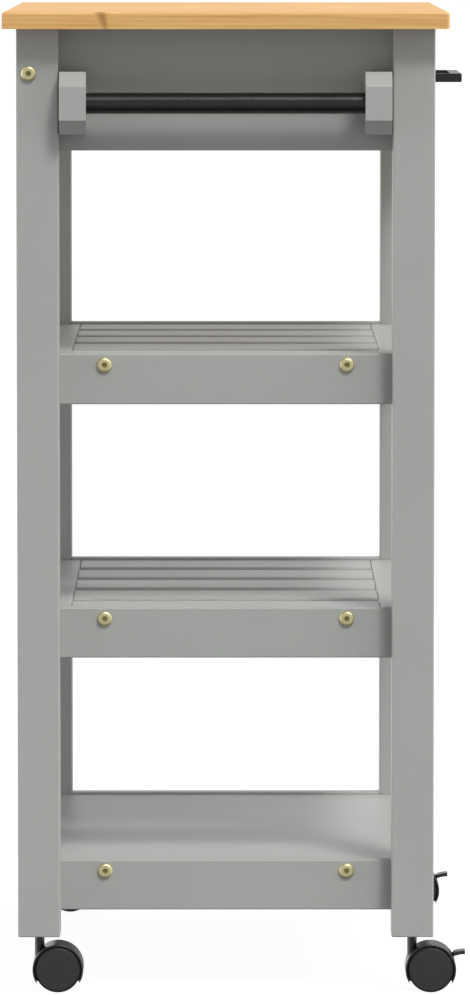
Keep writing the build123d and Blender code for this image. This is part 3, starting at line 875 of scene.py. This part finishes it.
@dataclass
class Hardware:
    """Bolts with hexagon sockets, and the screws, brackets, stems and sockets of the CAD."""

    head_radius: float = 6.8 * MM
    head_height: float = 3.2 * MM
    head_round: float = 2.3 * MM
    shank_radius: float = 2.95 * MM
    socket_flat: float = 2.1 * MM   # from the socket's middle to its flats
    socket_depth: float = 2.0 * MM
    shelf_bolt_x: tuple[float, float] = (-118.8 * MM, 100.2 * MM)
    shelf_bolt_z: tuple[float, float, float] = (108.7 * MM, 338.7 * MM, 568.7 * MM)
    leg_shank: float = 68 * MM
    shelf_shank: float = 37 * MM
    around: int = 72

    def dress(self) -> None:
        """Build the bolts, plate them yellow, and plate everything else bright."""
        # Tumbled in a yellow chromate bath, which leaves a pale straw metal with soft highlights.
        yellow = PlatedSteel("yellow_zinc", colour="#E6DEB2", stain="#CFC594", roughness=0.42)
        # The same yellow plating, duller in the sockets; its darker colour there is painted shade in the
        # recess.
        inside = PlatedSteel("yellow_zinc_socket_painted_shade", colour="#A89E66", stain="#8C8350", roughness=0.5)
        # A clear chromate over barrel-plated zinc: bluish white and a little cloudy.
        bright = PlatedSteel("bright_zinc", colour="#D6D8D9", stain="#C2C5C8", roughness=0.36)
        finishes = (yellow.material(), inside.material())
        low, high = span("leg_bolts")
        leg_place = (float(low[0] + high[0]) / 2, float(low[2] + high[2]) / 2)
        shelf_places = [(x, z) for x in self.shelf_bolt_x for z in self.shelf_bolt_z]
        self.bolts("leg_bolts", [leg_place], self.leg_shank, *finishes)
        self.bolts("shelf_bolts", shelf_places, self.shelf_shank, *finishes)
        plated = ["barrel_nuts", "wood_screws", "drawer_screws", "worktop_brackets"]
        dress(plated + ["caster_stems", "caster_sockets"], bright.material())
        log.info("hardware dressed")

    def bolts(self, node: str, places: list[tuple[float, float]], shank: float, plating: bpy.types.Material,
              inside: bpy.types.Material) -> None:
        """Make each bolt of a CAD node at both ends of the cart.

        A face belongs to the socket if its middle is nearer the bolt's axis than the socket's corner
        and lies below the head's face.

        Args:
            node: the CAD node that holds the bolts.
            places: where the bolts are across the cart and up it.
            shank: length under the head.
            plating: the finish of the head and the shank.
            inside: the duller finish in the hexagon socket, whose darker colour is painted shade.
        """
        reach = float(span(node)[1][1])
        for number, (x, z) in enumerate(places):
            for end, sign in (("left", -1.0), ("right", 1.0)):
                rows = self.rows(shank) * np.array((1.0, sign, 1.0)) + np.array((x, sign * reach, z))
                piece = skin(f"{node}_{end}_{number}", rows, plating, sharp=40.0)
                piece.data.materials.append(inside)
                middles = face_middles(piece)
                across = np.hypot(middles[:, 0] - x, middles[:, 2] - z)
                below = reach - np.abs(middles[:, 1])
                deep = (below > 0.1 * MM) & (below < self.socket_depth + 0.6 * MM)
                sunk = (across < 1.2 * self.socket_flat) & deep
                # Socket faces take the finish with the painted shade.
                piece.data.polygons.foreach_set("material_index", sunk.astype(np.int32))
                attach(piece, "frame")
                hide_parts(node)

    def rows(self, shank: float) -> np.ndarray:
        """Rings of points from the shank's end, over the domed head, down into the socket's floor.

        The head's face is at nought and the shank runs to negative heights along Y. In the socket
        the radius is the distance to its flats over the cosine of the angle from the nearest flat's
        middle, which draws a hexagon.

        Args:
            shank: length under the head.

        Returns:
            Rows of points for skin().
        """
        turn = np.linspace(0.0, 2 * math.pi, self.around, endpoint=False)
        from_flat = np.mod(turn, math.pi / 3) - math.pi / 6
        hexagon = self.socket_flat / np.cos(from_flat)
        bend = np.linspace(0.0, math.pi / 2, 8)
        dome_radius = self.head_radius - self.head_round * (1 - np.cos(bend))
        dome_height = -self.head_round * (1 - np.sin(bend))
        round_bar, seat = np.ones(self.around), -self.head_height
        rings = [(0.0 * round_bar, seat - shank), (self.shank_radius * round_bar, seat - shank)]
        rings += [(self.shank_radius * round_bar, seat), (self.head_radius * round_bar, seat)]
        rings += [(radius * round_bar, height) for radius, height in zip(dome_radius, dome_height)]
        rings += [(hexagon + 0.25 * MM, 0.0), (hexagon, -0.25 * MM), (hexagon, -self.socket_depth)]
        rings += [(0.0 * round_bar, -self.socket_depth - 0.5 * MM)]
        radius = np.array([ring[0] for ring in rings])
        height = np.array([ring[1] for ring in rings])
        rows = np.empty((len(rings), self.around, 3))
        rows[:, :, 0] = radius * np.cos(turn)
        rows[:, :, 1] = height[:, None]
        rows[:, :, 2] = radius * np.sin(turn)
        return rows


@dataclass(frozen=True)
class Glow:
    """One soft patch of light on the studio's walls, far away in every direction alike."""

    name: str
    turn: float                     # degrees from straight in front of the cart's left end, towards +X
    height: float                   # degrees above the floor
    spread: float                   # degrees from the patch's middle to where it has faded by two fifths
    light: float                    # brightness of a white card that faces the patch

    def towards(self) -> Triple:
        """Find the unit vector from the cart to the patch's middle.

        Across it is the sine of the turn times the cosine of the height, ahead the two cosines'
        product, and up the sine of the height.

        Returns:
            The vector in the row frame.
        """
        turn, height = math.radians(self.turn), math.radians(self.height)
        return (math.sin(turn) * math.cos(height), -math.cos(turn) * math.cos(height), math.sin(height))

    def power(self, tree: Tree, look: Socket) -> Socket:
        """Shade the patch over the sky.

        With k as one over the square of the spread in radians, the radiance is half of k times the
        light times e to the power of k times (the cosine of the angle from the middle, less one).

        Args:
            tree: the world's tree.
            look: the direction that is shaded.

        Returns:
            The patch's radiance.
        """
        sharp = 1 / math.radians(self.spread) ** 2
        cosine = add(tree, "VectorMath", {0: look, 1: self.towards()}, operation="DOT_PRODUCT")
        fall = add(tree, "Math", {0: cosine.outputs["Value"], 1: sharp, 2: -sharp},
                   operation="MULTIPLY_ADD").outputs[0]
        shape = add(tree, "Math", {0: fall}, operation="EXPONENT").outputs[0]
        return add(tree, "Math", {0: shape, 1: sharp * self.light / 2}, operation="MULTIPLY").outputs[0]


@dataclass
class Studio:
    """A pale floor, soft patches of light with one brighter key among them, and the camera."""

    floor_half: float = 60.0        # half of the floor's side
    lens: float = 255.6             # focal length on a 36 mm sensor
    camera_back: float = 6.313      # from the worktop's near edge
    camera_height: float = 0.990
    look_down: float = 4.864        # degrees
    look_aside: float = 0.0753      # degrees towards the drawer's side
    glows: tuple[Glow, ...] = (
        Glow("key", turn=25, height=51, spread=4.3, light=0.77),
        Glow("high_right", turn=100, height=45, spread=23, light=0.7),
        Glow("right", turn=90, height=0, spread=25, light=0.82),
        Glow("left", turn=-90, height=5, spread=25, light=0.98),
        Glow("front", turn=10, height=0, spread=25, light=0.18),
        Glow("front_low", turn=-20, height=-15, spread=25, light=0.1),
        Glow("back", turn=-150, height=5, spread=25, light=0.6),
    )

    def build(self) -> None:
        """Set the view transform and make every part of the studio."""
        bpy.context.scene.view_settings.view_transform = "Standard"
        self.floor()
        self.world()
        self.camera()

    def floor(self) -> None:
        """Lay a plain pale floor that the cart stands on and that only the camera sees."""
        half = self.floor_half
        corners = [(-half, -half, 0), (half, -half, 0), (half, half, 0), (-half, half, 0)]
        mesh = bpy.data.meshes.new("floor")
        mesh.from_pydata(corners, [], [(0, 1, 2, 3)])
        material, tree = new_material("pale_floor")
        # Nearly white by itself, so that only the closest shade under the wheels shows on it.
        surface(tree, {
            "Base Color": (0.12, 0.12, 0.12, 1.0), "Roughness": 1.0, "Specular IOR Level": 0.0,
            "Emission Color": (1.0, 1.0, 1.0, 1.0), "Emission Strength": 0.93})
        mesh.materials.append(material)
        floor = bpy.data.objects.new("floor", mesh)
        bpy.context.scene.collection.objects.link(floor)
        floor.visible_diffuse = False
        floor.visible_glossy = False
        floor.visible_shadow = False

    def world(self) -> None:
        """Add the patches of light together, behind a backdrop that the camera sees as white."""
        world = bpy.data.worlds.new("soft_studio")
        bpy.context.scene.world = world
        world.use_nodes = True
        tree = world.node_tree
        tree.nodes.clear()
        look = add(tree, "TexCoord").outputs["Generated"]
        total: Value = 0.0
        for glow in self.glows:
            total = add(tree, "Math", {0: glow.power(tree, look), 1: total}, operation="ADD").outputs[0]
        seen = add(tree, "LightPath").outputs["Is Camera Ray"]
        power = add(tree, "Mix", {MIX_FACTOR: seen, MIX_LOW: total, MIX_HIGH: 1.0}, data_type="FLOAT")
        sky = add(tree, "Background", {"Color": (1, 1, 1, 1), "Strength": power.outputs[0]})
        add(tree, "OutputWorld", {"Surface": sky.outputs[0]})

    def camera(self) -> None:
        """Stand well back from the left end, level with a viewer's chest, and look slightly down."""
        low, high = span("worktop")
        data = bpy.data.cameras.new("camera")
        data.lens = self.lens
        data.clip_end = 200.0
        camera = bpy.data.objects.new("camera", data)
        camera.location = ((low[0] + high[0]) / 2, low[1] - self.camera_back, self.camera_height)
        down, aside = math.radians(self.look_down), math.radians(self.look_aside)
        camera.rotation_euler = (math.pi / 2 - down, 0.0, -aside)
        bpy.context.scene.collection.objects.link(camera)
        bpy.context.scene.camera = camera


def main() -> None:
    """Build the cart's looks in order, then light it."""
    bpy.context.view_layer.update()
    Worktop().dress()
    PaintedFrame().dress()
    DrawerBox().dress()
    BlackMetal().build()
    Hardware().dress()
    # The housings come from a polished mould, so broad soft highlights run over them.
    hood = MouldedNylon("polished_nylon", colour="#141414", roughness=0.3).material()
    # The wheel covers come from a spark-eroded mould: flat, matt and a shade greyer.
    cover = MouldedNylon("moulded_nylon", colour="#1C1D1D", roughness=0.5).material()
    # The treads are moulded in a softer grade that scuffs at once, so they hardly shine.
    tread = MouldedNylon("wheel_rubber", colour="#131313", roughness=0.6).material()
    # The axles are turned from bright bar and only oiled.
    steel = PlatedSteel("turned_steel", colour="#BFC1C3", stain="#A9ACAF").material()
    for face in FACES:
        for end in ENDS:
            Caster(f"{face}_{end}", hood, cover, tread, steel).build()
    Studio().build()


if __name__ == "__main__":
    main()
